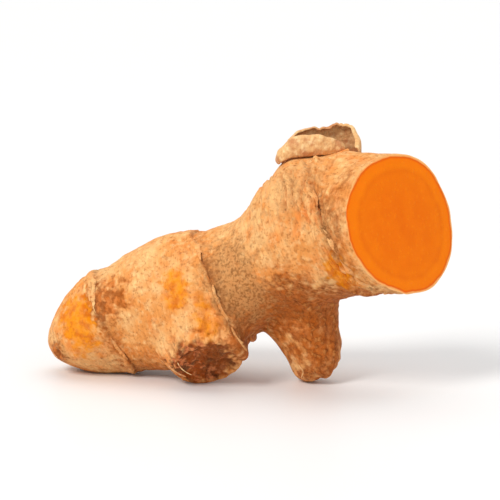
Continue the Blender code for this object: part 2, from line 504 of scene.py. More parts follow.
def write_values(mesh: bpy.types.Mesh, name: str, values: np.ndarray) -> None:
    """Stores a value or a vector for each point of a mesh, for its finish to read.

    Args:
        mesh: The mesh.
        name: The name that the finish reads them by.
        values: One value or one row for each point.
    """
    vector = values.ndim == 2
    kept = mesh.attributes.new(name, "FLOAT_VECTOR" if vector else "FLOAT", "POINT")
    kept.data.foreach_set("vector" if vector else "value", values.astype(np.float32).ravel())


def settle(piece: bpy.types.Object, *finishes: bpy.types.Material) -> None:
    """Gives a new piece its finishes, makes it ride with the root and reports it.

    Args:
        piece: The piece.
        finishes: Its finishes, where it has none yet.
    """
    for finish in finishes:
        piece.data.materials.append(finish)
    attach(piece, BODY)
    LOG.info("%s: %d faces", piece.name, len(piece.data.polygons))


class Board:
    """A node tree, with short ways to add nodes to it and to link them."""

    gap: float = 190.0

    def __init__(self, tree: bpy.types.NodeTree) -> None:
        """Keeps the tree that the nodes go into."""
        self.tree = tree

    def add(self, kind: str, inputs: dict | None = None, **settings: object) -> bpy.types.Node:
        """Adds a node.

        Args:
            kind: The node's type without its ShaderNode prefix.
            inputs: Value or socket for each input, by name or by number.
            settings: The node's own settings.

        Returns:
            The node.
        """
        node = self.tree.nodes.new("ShaderNode" + kind)
        node.location.x = self.gap * len(self.tree.nodes)
        for name, value in settings.items():
            setattr(node, name, value)
        for key, value in (inputs or {}).items():
            if isinstance(value, Socket):
                self.tree.links.new(value, node.inputs[key])
            else:
                node.inputs[key].default_value = value
        return node

    def math(self, operation: str, first: object, second: object) -> Socket:
        """One number combined with another."""
        return self.add("Math", {0: first, 1: second}, operation=operation).outputs[0]

    def plus(self, first: object, second: object) -> Socket:
        """Sum of two numbers."""
        return self.math("ADD", first, second)

    def times(self, first: object, second: object) -> Socket:
        """Product of two numbers."""
        return self.math("MULTIPLY", first, second)

    def vector(self, operation: str, first: Socket, second: Socket | Triple) -> Socket:
        """One vector combined with another."""
        return self.add("VectorMath", {0: first, 1: second}, operation=operation).outputs[0]

    def level(self, value: Socket, low: float | Socket, high: float | Socket) -> Socket:
        """Smooth step of a value from 0 at low to 1 at high."""
        steps = {"Value": value, "From Min": low, "From Max": high}
        return self.add("MapRange", steps, interpolation_type="SMOOTHSTEP").outputs["Result"]

    def blend(self, share: object, first: object, second: object) -> Socket:
        """Mix of two colours, with share as how much of the second shows."""
        return self.add("Mix", {0: share, 6: first, 7: second}, data_type="RGBA").outputs[2]

    def cover(self, under: object, over: object, share: Socket, strength: float) -> Socket:
        """A colour with another one over it, where that shows by its share times its strength."""
        return self.blend(self.times(share, strength), under, over)

    def noise(self, place: Socket, scale: object, detail: float,
              output: str = "Fac", **more: float) -> Socket:
        """Cloudy noise at a place."""
        inputs = {"Vector": place, "Scale": scale, "Detail": detail, **more}
        return self.add("TexNoise", inputs).outputs[output]

    def attribute(self, name: str, output: str = "Fac") -> Socket:
        """Values stored in the mesh under a name."""
        return self.add("Attribute", attribute_name=name).outputs[output]

    def mark(self, mark: Mark, rough: Socket, fray: float) -> Socket:
        """A mark of the skin.

        Args:
            mark: Which one.
            rough: Noise between 0 and 1 that breaks up its edge and its inside.
            fray: How far its edge is broken up.

        Returns:
            How much of it shows.
        """
        ragged = self.times(self.math("SUBTRACT", rough, 0.5), fray)
        whole = self.level(self.plus(self.attribute(mark.value), ragged), 0.05, 1.0)
        return self.times(whole, self.plus(0.62, self.times(rough, 0.55)))


class Group(Board):
    """A shader node group, with its inputs as given and its outputs as results."""

    def __init__(self, name: str, place: str, numbers: dict[str, float]) -> None:
        """Starts a group that puts out one number, named Mask.

        Args:
            name: Its name.
            place: Name of its first input, a vector.
            numbers: First value of each of its other inputs.
        """
        super().__init__(bpy.data.node_groups.new(name, "ShaderNodeTree"))
        sockets = self.tree.interface
        sockets.new_socket(place, in_out="INPUT", socket_type="NodeSocketVector")
        for label, value in numbers.items():
            sockets.new_socket(label, in_out="INPUT", socket_type="NodeSocketFloat").default_value = value
        sockets.new_socket("Mask", in_out="OUTPUT", socket_type="NodeSocketFloat")
        self.given = self.tree.nodes.new("NodeGroupInput").outputs
        self.results = self.tree.nodes.new("NodeGroupOutput").inputs

    def scale(self) -> Socket:
        """Scale of a pattern whose lumps have the size that the group is given."""
        return self.math("DIVIDE", 1.0, self.given["Size"])

    def finished(self, mask: Socket) -> bpy.types.NodeTree:
        """The group with this as what it puts out."""
        self.tree.links.new(mask, self.results["Mask"])
        return self.tree


class SharedEffects:
    """Patterns that more than one finish uses. Sizes are in mm, as are the coordinates that go in."""

    def __init__(self) -> None:
        """Builds each group once."""
        self.mottle = self.build_mottle()
        self.stipple = self.build_stipple()
        self.fibres = self.build_fibres()

    @staticmethod
    def build_mottle() -> bpy.types.NodeTree:
        """Soft blotches.

        Returns:
            The group. Its mask is 1 inside them.
        """
        group = Group("mottle", "Place", {"Size": 3.0, "Low": 0.4, "High": 0.6})
        blotch = group.noise(group.given["Place"], group.scale(), 4.0)
        return group.finished(group.level(blotch, group.given["Low"], group.given["High"]))

    @staticmethod
    def build_stipple() -> bpy.types.NodeTree:
        """Fine specks in uneven numbers.

        Returns:
            The group. Its mask is 1 on a speck.
        """
        group = Group("stipple", "Place", {"Size": 0.6, "Share": 0.5})
        place, scale = group.given["Place"], group.scale()
        pushed = group.vector("MULTIPLY", group.noise(place, scale, 2.0, "Color"), (0.5, 0.5, 0.5))
        warped = group.vector("ADD", place, pushed)
        cells = group.add("TexVoronoi", {"Vector": warped, "Scale": scale}).outputs
        value = group.add("SeparateColor", {0: cells["Color"]}).outputs[0]
        crowd = group.noise(place, group.math("DIVIDE", scale, 5.0), 2.0)
        limit = group.times(group.given["Share"], group.times(crowd, 2.0))
        chosen = group.math("LESS_THAN", value, limit)
        return group.finished(group.times(group.level(cells["Distance"], 0.50, 0.22), chosen))

    @staticmethod
    def build_fibres() -> bpy.types.NodeTree:
        """Fine wrinkles across the grain, whose first coordinate runs along the root.

        Returns:
            The group. Its mask is 1 on a wrinkle.
        """
        group = Group("fibres", "Grain", {"Size": 0.5, "Stretch": 8.0})
        scale = group.scale()
        slow = group.math("DIVIDE", scale, group.given["Stretch"])
        factors = group.add("CombineXYZ", {"X": scale, "Y": slow, "Z": slow}).outputs[0]
        place = group.vector("MULTIPLY", group.given["Grain"], factors)
        return group.finished(group.level(group.noise(place, 1.0, 3.0, Distortion=0.4), 0.35, 0.65))


class Finish:
    """A procedural material: a board, its shader and the shared effects placed in it. Sizes are in mm."""

    def __init__(self, name: str, effects: SharedEffects) -> None:
        """Starts a material.

        Args:
            name: Its name.
            effects: The shared effects.
        """
        self.material = bpy.data.materials.new(name)
        self.material.use_nodes = True
        self.board = Board(self.material.node_tree)
        self.shader = self.material.node_tree.nodes["Principled BSDF"]
        self.effects = effects
        coordinates = self.board.add("TexCoord").outputs["Object"]
        scaled = self.board.add("VectorMath", {0: coordinates, "Scale": 1.0 / MM}, operation="SCALE")
        self.place = scaled.outputs[0]

    def effect(self, group: bpy.types.NodeTree, **inputs: float | Socket) -> Socket:
        """Places a shared effect with its own values."""
        return self.board.add("Group", inputs, node_tree=group).outputs["Mask"]

    def mottle(self, size: float, low: float, high: float) -> Socket:
        """Soft blotches of a size, where the noise rises from low to high."""
        return self.effect(self.effects.mottle, Place=self.place, Size=size, Low=low, High=high)

    def specks(self, size: float, share: float) -> Socket:
        """Fine specks of a size on a share of the surface."""
        return self.effect(self.effects.stipple, Place=self.place, Size=size, Share=share)

    def streaks(self, size: float, stretch: float) -> Socket:
        """Fine wrinkles of a size across the grain, so many times as long as wide."""
        grain = self.board.attribute("grain", "Vector")
        return self.effect(self.effects.fibres, Grain=grain, Size=size, Stretch=stretch)

    def fixed(self, values: dict[str, float | Triple | Colour]) -> None:
        """Sets values that are the same all over on the shader's own sockets."""
        for name, value in values.items():
            self.shader.inputs[name].default_value = value

    def feed(self, name: str, source: Socket) -> None:
        """Links a source to one of the shader's inputs."""
        self.board.tree.links.new(source, self.shader.inputs[name])

    def relief(self, height: Socket, distance: float) -> None:
        """Feeds a height to the shader's normal through a bump of a depth."""
        bump = self.board.add("Bump", {"Height": height, "Distance": distance * MM})
        self.feed("Normal", bump.outputs["Normal"])


@dataclass(frozen=True)
class SkinFinish:
    """Skin of the root: mottled tan, specks, fine wrinkles, the mesh's marks, painted shade and painted
    highlight.
    """

    tan: Colour = screen_colour(230, 152, 80)
    cream: Colour = screen_colour(240, 186, 122)
    apricot: Colour = screen_colour(232, 128, 50)
    speck: Colour = screen_colour(150, 80, 26)
    pale_speck: Colour = screen_colour(248, 205, 144)
    wrinkle: Colour = screen_colour(168, 96, 40)
    rubbed: Colour = screen_colour(238, 142, 0)
    rubbed_deep: Colour = screen_colour(212, 108, 0)
    bruise: Colour = screen_colour(142, 64, 4)
    grime: Colour = screen_colour(200, 140, 84)
    grime_dark: Colour = screen_colour(112, 68, 28)
    russet: Colour = screen_colour(170, 82, 18)
    russet_dark: Colour = screen_colour(118, 50, 6)
    scar: Colour = screen_colour(158, 70, 16)
    scar_dark: Colour = screen_colour(84, 34, 14)
    scar_pale: Colour = screen_colour(216, 128, 80)
    # Painted shade: the colours laid on the skin inside the nub's collar.
    hollow: Colour = screen_colour(120, 66, 26)
    hollow_dark: Colour = screen_colour(62, 30, 10)
    # Painted shade: the colour laid in the creases, pits and folds and on the scar's lower right.
    crease: Colour = screen_colour(128, 74, 36)
    sheen: Colour = screen_colour(255, 236, 196)

    def build(self, effects: SharedEffects) -> bpy.types.Material:
        """Makes the material.

        Args:
            effects: The shared effects.

        Returns:
            The material.
        """
        finish = Finish("root_skin", effects)
        board = finish.board
        rough = board.noise(finish.place, 0.9, 5.0, Roughness=0.6)
        fibres = finish.streaks(0.55, stretch=5.0)
        specks = finish.specks(0.45, share=0.25)
        # Painted shade: the crease mark darkens the skin in its creases, pits and folds and on the scar's
        # lower right, where shade falls.
        crease = board.times(board.attribute(Mark.CREASE.value), board.level(rough, 0.3, 0.55))

        colour = self.marked(finish, rough, self.unmarked(finish, rough, fibres, specks))
        finish.feed("Base Color", board.cover(colour, self.crease, crease, 0.8))
        finish.feed("Roughness", board.plus(0.5, board.times(rough, 0.25)))
        height = board.plus(board.times(rough, 0.9), board.times(fibres, 0.35))
        finish.relief(board.math("SUBTRACT", height, board.times(specks, 0.3)), distance=0.28)
        finish.fixed({"Specular IOR Level": 0.07, "Sheen Weight": 0.015, "Sheen Roughness": 0.4})
        finish.fixed({"Sheen Tint": self.sheen})
        return finish.material

    def unmarked(self, finish: Finish, rough: Socket, fibres: Socket, specks: Socket) -> Socket:
        """Colour of the skin without its marks, apart from its cream places: pale skin, with painted
        highlight on the top.

        Args:
            finish: The skin's finish.
            rough: Noise that breaks up the cream places.
            fibres: The fine wrinkles.
            specks: The fine specks.

        Returns:
            The colour.
        """
        board = finish.board
        colour = board.blend(finish.mottle(6.0, 0.35, 0.65), self.tan, self.cream)
        colour = board.cover(colour, self.apricot, finish.mottle(3.4, 0.42, 0.72), 0.6)
        colour = board.cover(colour, self.pale_speck, finish.mottle(1.2, 0.45, 0.75), 0.6)
        colour = board.cover(colour, self.wrinkle, finish.mottle(0.9, 0.50, 0.76), 0.6)
        cream = board.blend(fibres, self.cream, self.pale_speck)
        # Cream places: pale skin, and painted highlight on the top of the root.
        colour = board.cover(colour, cream, board.mark(Mark.CREAM, rough, 0.5), 0.5)
        colour = board.cover(colour, self.wrinkle, fibres, 0.2)
        return board.cover(colour, self.speck, specks, 0.28)

    def marked(self, finish: Finish, rough: Socket, colour: Socket) -> Socket:
        """Lays the marks over the skin.

        Args:
            finish: The skin's finish.
            rough: Noise that breaks up the marks.
            colour: The skin without them.

        Returns:
            The skin with them.
        """
        board = finish.board
        flecks = finish.specks(0.8, share=0.6)
        # Russet: reddish-brown skin, and along the underside partly painted shade.
        russet = board.blend(board.level(rough, 0.42, 0.66), self.russet, self.russet_dark)
        russet = board.cover(russet, self.tan, finish.mottle(1.1, 0.52, 0.72), 0.55)
        grime = board.cover(self.grime, self.grime_dark, finish.mottle(0.5, 0.44, 0.64), 0.72)
        grime = board.cover(grime, self.grime_dark, flecks, 0.2)
        bruise = board.cover(self.bruise, self.apricot, finish.mottle(1.2, 0.42, 0.62), 0.6)
        rubbed = board.blend(finish.mottle(1.6, 0.4, 0.65), self.rubbed, self.rubbed_deep)
        scar = board.blend(finish.mottle(3.2, 0.42, 0.62), self.scar, self.scar_dark)
        scar = board.cover(scar, self.scar_pale, finish.mottle(1.3, 0.5, 0.64), 0.8)
        scar = board.cover(scar, self.scar_dark, flecks, 0.5)
        # Painted shade inside the nub's collar.
        hollow = board.blend(board.level(rough, 0.4, 0.6), self.hollow, self.hollow_dark)
        layers = (
            (Mark.RUSSET, russet, 0.8, 0.97),
            (Mark.GRIME, grime, 0.9, 0.9),
            (Mark.BRUISE, bruise, 0.8, 0.92),
            (Mark.RUBBED, rubbed, 0.7, 0.92),
            (Mark.SCAR, scar, 0.7, 1.0),
            (Mark.HOLLOW, hollow, 0.4, 1.0),
        )
        for mark, over, fray, strength in layers:
            colour = board.cover(colour, over, board.mark(mark, rough, fray), strength)
        return colour


@dataclass(frozen=True)
class PaperFinish:
    """Dry papery scale leaf, streaked along its height, with painted shade at its foot where it meets the
    skin.
    """

    name: str
    base: Colour
    streak: Colour
    fleck: Colour

    def build(self, effects: SharedEffects) -> bpy.types.Material:
        """Makes the material.

        Args:
            effects: The shared effects.

        Returns:
            The material.
        """
        finish = Finish(self.name, effects)
        board = finish.board
        fibres = finish.streaks(0.35, stretch=9.0)
        colour = board.cover(self.base, self.streak, fibres, 0.26)
        colour = board.cover(colour, self.streak, finish.mottle(2.4, 0.45, 0.66), 0.75)
        colour = board.cover(colour, self.fleck, finish.mottle(1.4, 0.48, 0.7), 0.7)
        colour = board.cover(colour, self.streak, finish.specks(0.5, share=0.3), 0.3)
        # Painted shade: darker towards the foot, where the sheet meets the skin.
        foot = board.level(board.attribute("edge"), 0.7, 0.0)
        finish.feed("Base Color", board.cover(colour, self.streak, foot, 0.85))
        finish.feed("Roughness", board.plus(0.6, board.times(fibres, 0.2)))
        height = board.plus(finish.mottle(0.9, 0.3, 0.7), board.times(fibres, 0.4))
        finish.relief(height, distance=0.14)
        finish.fixed({"Specular IOR Level": 0.3})
        return finish.material


class PaperSide(Enum):
    """The two sides of a dry scale leaf, each with its finish."""

    OUTSIDE = PaperFinish(
        "scale_outside",
        base=screen_colour(236, 188, 126),
        streak=screen_colour(190, 118, 72),
        fleck=screen_colour(255, 224, 166),
    )
    INSIDE = PaperFinish(
        "scale_inside",
        base=screen_colour(150, 92, 42),
        streak=screen_colour(86, 46, 18),
        fleck=screen_colour(196, 136, 80),
    )


@dataclass(frozen=True)
class FleshFinish:
    """Moist orange flesh of the cut: a deeper core, a paler cortex and the thin skin round it.

    stops are the colours at shares of the way from the middle of the cut to its rim. inner are the shares
    between which the blotches and veins fade out, and radius how far light of each colour goes in.
    """

    stops: tuple[tuple[float, Colour], ...] = (
        (0.0, screen_colour(232, 107, 0)),
        (0.50, screen_colour(234, 111, 0)),
        (0.70, screen_colour(236, 115, 0)),
        (0.765, screen_colour(232, 110, 0)),
        (0.83, screen_colour(240, 121, 0)),
        (0.93, screen_colour(241, 119, 0)),
        (0.962, screen_colour(224, 90, 2)),
        (0.976, screen_colour(240, 160, 84)),
        (1.0, screen_colour(246, 186, 120)),
    )
    blotch: Colour = screen_colour(252, 132, 2)
    vein: Colour = screen_colour(255, 156, 20)
    inner: Pair = (0.93, 0.86)
    radius: Triple = (1.0, 0.35, 0.08)

    def build(self, effects: SharedEffects) -> bpy.types.Material:
        """Makes the material.

        Args:
            effects: The shared effects.

        Returns:
            The material.
        """
        finish = Finish("cut_flesh", effects)
        board = finish.board
        heart = board.attribute("heart")
        uneven = board.math("SUBTRACT", board.noise(finish.place, 0.22, 3.0), 0.5)
        ramp = board.add("ValToRGB", {"Fac": board.plus(heart, board.times(uneven, 0.08))})
        elements = ramp.color_ramp.elements
        for _ in self.stops[len(elements) :]:
            elements.new(0.5)
        for element, (place, colour) in zip(elements, self.stops):
            element.position = place
            element.color = colour
        inner = board.level(heart, *self.inner)
        veins = finish.specks(0.75, share=0.35)
        blotches = board.times(finish.mottle(3.0, 0.42, 0.64), inner)
        colour = board.cover(ramp.outputs["Color"], self.blotch, blotches, 0.18)
        colour = board.cover(colour, self.vein, board.times(veins, inner), 0.1)
        finish.feed("Base Color", colour)
        grit = board.noise(finish.place, 2.6, 4.0)
        finish.feed("Roughness", board.plus(0.3, board.times(grit, 0.22)))
        finish.relief(board.plus(grit, board.times(veins, 0.4)), distance=0.06)
        finish.fixed({"Specular IOR Level": 0.08, "Coat Weight": 0.01, "Coat Roughness": 0.3})
        finish.fixed({"Subsurface Weight": 0.08, "Subsurface Radius": self.radius})
        finish.fixed({"Subsurface Scale": 1.2 * MM})
        return finish.material


@dataclass
class NubPlace:
    """The short nub on the root's shoulder, a torn collar of scale leaves round a hollow.

    middle is its place in the frame, in mm. A plan is measured from there in mm, to the right and to the
    front as the root is seen from its front. collar and hollow are ovals in plan, each a middle and half a
    size, and edge are the shares of the collar between which it ends. What lies below lowest is no part of
    the nub, and top_height is above all of it. shoulder_height, slope, crest, radius, left and drop give the
    shoulder that it stands on, and kept is the share of the solid's thick collar that stays there, where thin
    sheets stand in its place.
    """

    middle: Triple = (13.4, 3.95, 0.0)
    right: Triple = (0.934, 0.358, 0.0)
    front: Triple = (0.358, -0.934, 0.0)
    collar: tuple[Pair, Pair] = ((-1.0, 0.0), (9.6, 8.0))
    edge: Pair = (0.85, 1.1)
    # The hollow oval is where painted shade darkens the skin inside the collar.
    hollow: tuple[Pair, Pair] = ((0.4, -1.0), (7.6, 3.4))
    lowest: float = 38.0
    kept: float = 0.15
    shoulder_height: float = 44.4
    slope: float = 0.17
    crest: float = -1.0
    radius: float = 13.0
    left: float = -4.0
    drop: float = 0.2
    top_height: float = 60.0

    def plan(self, points: np.ndarray) -> tuple[np.ndarray, np.ndarray]:
        """How far to the right and to the front of the nub's middle each point lies, in mm."""
        spoke = points - np.array(self.middle)
        return spoke @ np.array(self.right), spoke @ np.array(self.front)

    def reach(self, points: np.ndarray, oval: tuple[Pair, Pair]) -> np.ndarray:
        """Distance in plan from an oval's middle.

        Args:
            points: Rows of x, y and z in mm.
            oval: Its middle and half its size, in plan.

        Returns:
            1 at the oval's outline, and a large number for a point below the shoulder.
        """
        across, ahead = self.plan(points)
        middle, half = oval
        inside = np.hypot((across - middle[0]) / half[0], (ahead - middle[1]) / half[1])
        return np.where(points[:, 2] > self.lowest, inside, 9.0)

    def clear(self, points: np.ndarray) -> np.ndarray:
        """0 on the nub and 1 away from it."""
        return ease(*self.edge, self.reach(points, self.collar))

    def hollow_shade_mask(self, points: np.ndarray) -> np.ndarray:
        """Strength of the painted shade inside the collar."""
        return ease(1.05, 0.85, self.reach(points, self.hollow))

    def lowered(self, points: np.ndarray) -> np.ndarray:
        """Lets the solid's thick collar down to the shoulder.

        Args:
            points: Rows of x, y and z in mm.

        Returns:
            The points with the collar let down.
        """
        across, ahead = self.plan(points)
        shoulder = self.shoulder_height + self.slope * across
        shoulder -= (ahead - self.crest) ** 2 / (2.0 * self.radius)
        shoulder -= self.drop * np.maximum(self.left - across, 0.0) ** 2
        proud = np.maximum(points[:, 2] - shoulder, 0.0)
        inner, outer = self.edge
        moved = points.copy()
        moved[:, 2] -= ease(outer, inner, self.reach(points, self.collar)) * (1.0 - self.kept) * proud
        return moved


@dataclass(frozen=True)
class ScaleSheet:
    """What is left of a dry scale leaf: a thin sheet on a curved foot, its edge torn.

    profile is its line from foot to edge: how far it leans out, in mm, and the share of its height reached
    there. thickness is its wall in mm, ragged how uneven its edge is, as a share of the height, ripple how
    far it waves, in mm, and taper the share of the profile's lean that is left at the ends of its foot. It
    has so many faces across and so many rows. tear is how wide the tears of its edge are, in mm, buried the
    share of its rows that goes on below its foot, and rooted the share near its foot that faces outwards.
    """

    name: str
    profile: tuple[Pair, ...]
    thickness: float = 0.35
    ragged: float = 0.15
    ripple: float = 0.16
    taper: float = 0.3
    across: int = 60
    rows: int = 14
    tear: float = 1.5
    buried: float = 0.125
    rooted: float = 0.3

    def build(self, foot: np.ndarray, up: np.ndarray, over: np.ndarray, rise: np.ndarray,
              sunk: np.ndarray) -> bpy.types.Object:
        """Makes the sheet.

        Args:
            foot: Points of its foot in mm, from one end to the other.
            up: Unit vector that it stands along, for each of those.
            over: Unit vector that it leans to, for each of those.
            rise: Its height in mm, for each of those.
            sunk: How far it goes on below the foot in mm, for each of those.

        Returns:
            The sheet, with a finish for its outside and one for its inside still to be given.
        """
        sheet = new_primitive(bpy.ops.mesh.primitive_grid_add, self.name,
                              x_subdivisions=self.across, y_subdivisions=self.rows, size=1.0)
        share, climb, _ = read_rows(sheet.data.vertices, "co").T + 0.5
        none = np.zeros_like(share)
        foot_there, up_there, over_there = (read_along(rows, share) for rows in (foot, up, over))
        rise_there, sunk_there = read_along(rise, share), read_along(sunk, share)
        lean, grown = read_along(smooth_path(self.profile, samples=8), climb).T
        length = float(np.linalg.norm(np.diff(foot, axis=0), axis=1).sum())
        torn = lumps(np.stack([share * length / self.tear, 0.4 * climb, none], 1), 1.0, length, 3)
        ends = np.clip(4.0 * share * (1.0 - share), 0.0, 1.0) ** 0.5
        height = rise_there * (1.0 + self.ragged * torn * climb)
        lean = lean * (self.taper + (1.0 - self.taper) * ends) * (1.0 + self.ragged * torn)
        above = height * grown - sunk_there * np.clip(1.0 - climb / self.buried, 0.0, 1.0)
        points = foot_there + above[:, None] * up_there + lean[:, None] * over_there
        wave = self.ripple * lumps(points, 1.6, seed=2.0, octaves=2)
        write_points(sheet.data, points + wave[:, None] * unit(over_there + 0.3 * up_there))
        facing = (read_normals(sheet.data) * over_there).sum(1)
        if (facing * (climb < self.rooted)).sum() < 0.0:
            sheet.data.flip_normals()
        write_values(sheet.data, "grain", np.stack([share * length, climb * rise_there, none], 1))
        write_values(sheet.data, "edge", climb)
        write_values(sheet.data, Mark.CREAM.value, 0.9 * climb)
        apply_modifier(sheet, "SOLIDIFY", thickness=self.thickness * MM, offset=0.0, material_offset=1)
        apply_modifier(sheet, "SUBSURF", levels=1, render_levels=1)
        shade_smooth(sheet)
        return sheet


@dataclass(frozen=True)
class NubSheet:
    """One of the nub's dry sheets.

    foot are the points that its foot passes through. Each is how far to the right and to the front of the
    nub's middle it lies, and how high above the floor the sheet's highest line is there, in mm.
    """

    sheet: ScaleSheet
    foot: tuple[Triple, ...]


@dataclass
class NubScales:
    """The two dry sheets of the nub: the folded lip in front and the hood behind it.

    sink is how deep a foot goes into the skin, least_rise the lowest that a sheet stands, ledge how far below
    the highest skin a sheet may go on, and skip how far below one hit on the skin the next is looked for, all
    in mm. casts is how many are looked for, and spread over how many places a foot's depth is kept alike.
    """

    nub: NubPlace
    skin: BVHTree
    sheets: tuple[NubSheet, ...] = (
        NubSheet(
            ScaleSheet(
                "nub_front_lip",
                profile=((0.0, 0.0), (0.05, 0.45), (0.2, 0.8), (0.6, 1.0),
                         (1.1, 0.94), (1.42, 0.66), (1.45, 0.4), (1.0, 0.14)),
                thickness=0.5,
                ripple=0.3,
            ),
            foot=(
                (-5.8, -3.0, 43.6),
                (-6.5, -1.2, 44.4),
                (-6.0, 0.6, 45.8),
                (-4.4, 1.7, 47.7),
                (-1.4, 2.3, 48.2),
                (1.6, 2.1, 47.8),
                (3.7, 1.4, 47.0),
                (5.0, 0.2, 45.8),
            ),
        ),
        NubSheet(
            ScaleSheet(
                "nub_back_hood",
                profile=((0.0, 0.0), (0.45, 0.35), (0.55, 0.7), (0.2, 0.95), (-0.5, 1.04), (-1.0, 1.0)),
                thickness=0.34,
                ragged=0.08,
            ),
            foot=(
                (-5.6, -2.8, 46.6),
                (-3.6, -3.7, 48.3),
                (-1.0, -4.0, 48.9),
                (1.2, -3.9, 48.9),
                (3.2, -4.2, 49.4),
                (5.4, -4.1, 49.5),
                (7.3, -2.9, 48.7),
                (8.0, -1.0, 47.2),
                (7.7, 0.9, 45.6),
            ),
        ),
    )
    sink: float = 0.5
    least_rise: float = 0.6
    ledge: float = 5.0
    skip: float = 0.02
    casts: int = 6
    spread: int = 5

    def build(self, outside: bpy.types.Material, inside: bpy.types.Material) -> None:
        """Makes both sheets."""
        for part in self.sheets:
            self.add(part, finishes=(outside, inside))

    def add(self, part: NubSheet, finishes: tuple[bpy.types.Material, bpy.types.Material]) -> None:
        """Makes one sheet on the shoulder.

        Args:
            part: The sheet and its foot.
            finishes: Its outer and its inner finish.
        """
        rows = smooth_path(part.foot, samples=9)
        middle = np.array(self.nub.middle)
        level = middle + rows[:, :1] * self.nub.right + rows[:, 1:2] * self.nub.front
        hits = [self.ground(place) for place in level]
        foot = np.array([first for first, _ in hits]) - (0.0, 0.0, self.sink)
        deep = np.array([first[2] - below for first, below in hits])
        sunk = np.array([deep[max(i - self.spread, 0) : i + self.spread + 1].max() for i in range(len(deep))])
        up = np.tile(UP, (len(foot), 1))
        over = unit(np.cross(np.gradient(level, axis=0), up))
        if ((level - middle) * over).sum() < 0.0:
            over = -over
        rise = np.maximum(rows[:, 2] - foot[:, 2], self.least_rise)
        settle(part.sheet.build(foot, up, over, rise, sunk), *finishes)

    def ground(self, place: np.ndarray) -> tuple[np.ndarray, float]:
        """The skin below a place of the nub.

        Args:
            place: The place in mm.

        Returns:
            The highest point of the skin there in mm, and the height of the skin under it where that point is
            only on a thin ledge.
        """
        down, skip = Vector((0.0, 0.0, -1.0)), self.skip * MM
        start = Vector((place[0] * MM, place[1] * MM, self.nub.top_height * MM))
        first = self.skin.ray_cast(start, down)[0]
        height, found = first.z, first
        for _ in range(self.casts):
            found, normal, _, _ = self.skin.ray_cast(found + down * skip, down)
            if found is None or first.z - found.z > self.ledge * MM:
                break
            if normal.z > 0.0:
                height = found.z
        return np.array(first) / MM, height / MM


@dataclass(frozen=True)
class Flake:
    """Torn remnant of a scale leaf: the number of its ring, the angles of its ends and its reach in mm."""

    ring: int
    start: float
    end: float
    reach: float


@dataclass
class RingFlakes:
    """Thin torn edges of old scale leaves, which stand on the lips of the rings and lean over the creases.

    profile is their line from foot to edge, ahead how far past the ring their foot lies, and sink how deep
    their two ends go into the skin, in mm. points is how many make a foot, and evened over how many of them
    it is evened out.
    """

    profile: tuple[Pair, ...] = ((-0.5, -0.7), (-0.12, -0.35), (0.06, 0.1), (0.13, 0.55), (0.05, 1.0))
    ahead: float = 0.1
    sink: float = 0.45
    points: int = 40
    evened: int = 5
    flakes: tuple[Flake, ...] = (
        Flake(ring=0, start=104.0, end=166.0, reach=0.9),
        Flake(ring=0, start=186.0, end=232.0, reach=0.8),
        Flake(ring=0, start=300.0, end=385.0, reach=0.8),
        Flake(ring=1, start=100.0, end=146.0, reach=1.2),
        Flake(ring=1, start=168.0, end=214.0, reach=1.3),
        Flake(ring=1, start=208.0, end=240.0, reach=1.3),
        Flake(ring=1, start=285.0, end=400.0, reach=1.4),
        Flake(ring=3, start=136.0, end=163.0, reach=1.7),
        Flake(ring=3, start=174.0, end=262.0, reach=1.6),
        Flake(ring=3, start=290.0, end=372.0, reach=1.4),
    )

    def build(self, body: "RootBody", skin: bpy.types.Material) -> None:
        """Makes every flake and joins them into one piece.

        Args:
            body: The root with its relief.
            skin: Finish of the flakes.
        """
        sheets = [self.sheet(flake, number, body) for number, flake in enumerate(self.flakes)]
        settle(join_pieces(sheets, "ring_flakes"), skin)

    def sheet(self, flake: Flake, number: int, body: "RootBody") -> bpy.types.Object:
        """Makes one flake.

        Args:
            flake: What it is to be.
            number: Its number, which makes its edge unlike the others.
            body: The root with its relief.

        Returns:
            The flake.
        """
        angle = np.radians(np.linspace(flake.start, flake.end, self.points))
        place = body.rings[flake.ring].place(angle)
        near = body.spots.nearest(place + self.ahead, angle)
        foot, out = self.even(body.spots.place[near]), unit(self.even(body.spots.normal[near]))
        along = body.axis.directions(np.clip(place, 0.0, body.axis.length))[0]
        up = unit(along - (along * out).sum(1)[:, None] * out)
        ends = np.sin(np.linspace(0.0, math.pi, len(foot))) ** 0.5
        rise = flake.reach * ends * (0.8 + 0.5 * lumps(foot, 2.2, seed=5.0 + number, octaves=2))
        foot = foot - (self.sink * (1.0 - ends))[:, None] * out
        sheet = ScaleSheet(f"flake_{number}", self.profile, thickness=0.12, ragged=0.45, ripple=0.06,
                           taper=1.0, across=80, rows=5)
        return sheet.build(foot, up, out, rise, np.zeros(len(foot)))

    def even(self, rows: np.ndarray) -> np.ndarray:
        """Evens out each column of some rows along them.

        Args:
            rows: One row for each point of a foot.

        Returns:
            As many rows, evened out.
        """
        window = np.hanning(self.evened + 2)[1:-1]
        spare = self.evened // 2
        padded = np.pad(rows, ((spare, spare), (0, 0)), mode="edge")
        return np.stack([np.convolve(column, window / window.sum(), mode="valid") for column in padded.T], 1)


@dataclass(frozen=True)
class Rootlet:
    """A dry root fibre: where it leaves the skin, its further points from there and its radius, in mm."""

    station: float
    angle: float
    path: tuple[Triple, ...]
    radius: float = 0.16


